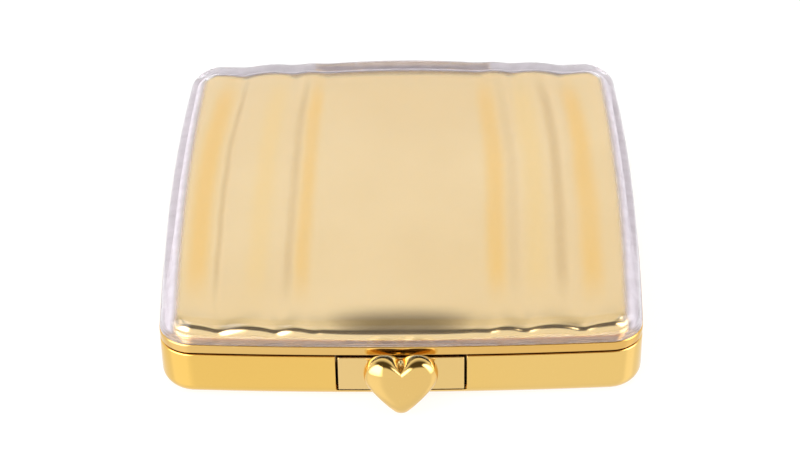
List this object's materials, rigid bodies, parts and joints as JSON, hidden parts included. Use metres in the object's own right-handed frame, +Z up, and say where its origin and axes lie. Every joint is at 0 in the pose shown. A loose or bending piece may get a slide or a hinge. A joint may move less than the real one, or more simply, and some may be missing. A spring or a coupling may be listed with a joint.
{
  "type": "pill box",
  "caption": "Square compact-style pill box: gold case on a rear hinge, clear pleated cover, heart push button, well tray and lid mirror.",
  "frame": {"origin": "centre of the base's flat underside, on the surface the box stands on", "axes": "+Z up, -Y towards the push button at the front, +Y towards the hinge, +X to the right seen from the front"},
  "size_m": [0.075, 0.0831, 0.0142],
  "materials": {
    "gold_plating": "vacuum-metallised gold, polished",
    "gold_plating_button": "vacuum-metallised gold, polished",
    "gold_plating_heart": "vacuum-metallised gold, polished",
    "clear_plastic": "clear, polished",
    "inner_plastic": "satin champagne",
    "tray_plastic": "ivory, fine satin",
    "catch_plastic": "natural acetal",
    "mirror_glass": "silvered float glass",
    "foam_tape": "white foam tape",
    "bumper_rubber": "translucent silicone",
    "steel": "bright steel",
    "spring_steel": "spring steel"
  },
  "bodies": {
    "base": {"base_shell": "gold_plating", "inner_frame": "inner_plastic", "pill_tray": "tray_plastic", "lid_bumpers": "bumper_rubber", "hinge_pin": "steel", "button_spring_left": "spring_steel", "button_spring_right": "spring_steel"},
    "button": {"push_button": "gold_plating_button", "heart_thumbpiece": "gold_plating_heart", "heart_screw": "steel"},
    "lid": {"lid_shell": "gold_plating", "clear_cover": "clear_plastic", "lid_liner": "inner_plastic", "latch_catch": "catch_plastic", "mirror": "mirror_glass", "mirror_tape": "foam_tape"}
  },
  "joints": [
    {"name": "lid_hinge", "type": "hinge", "parent": "base", "child": "lid", "pos_m": [0, 0.0386, 0.00825], "axis": [-1, 0, 0], "range_deg": [0, 120]},
    {"name": "button_press", "type": "slide", "parent": "base", "child": "button", "axis": [0, 1, 0], "range_m": [0, 0.0012], "stiffness_N_per_m": 600, "springref_m": -0.001, "deforming": ["button_spring_left", "button_spring_right"]}
  ]
}
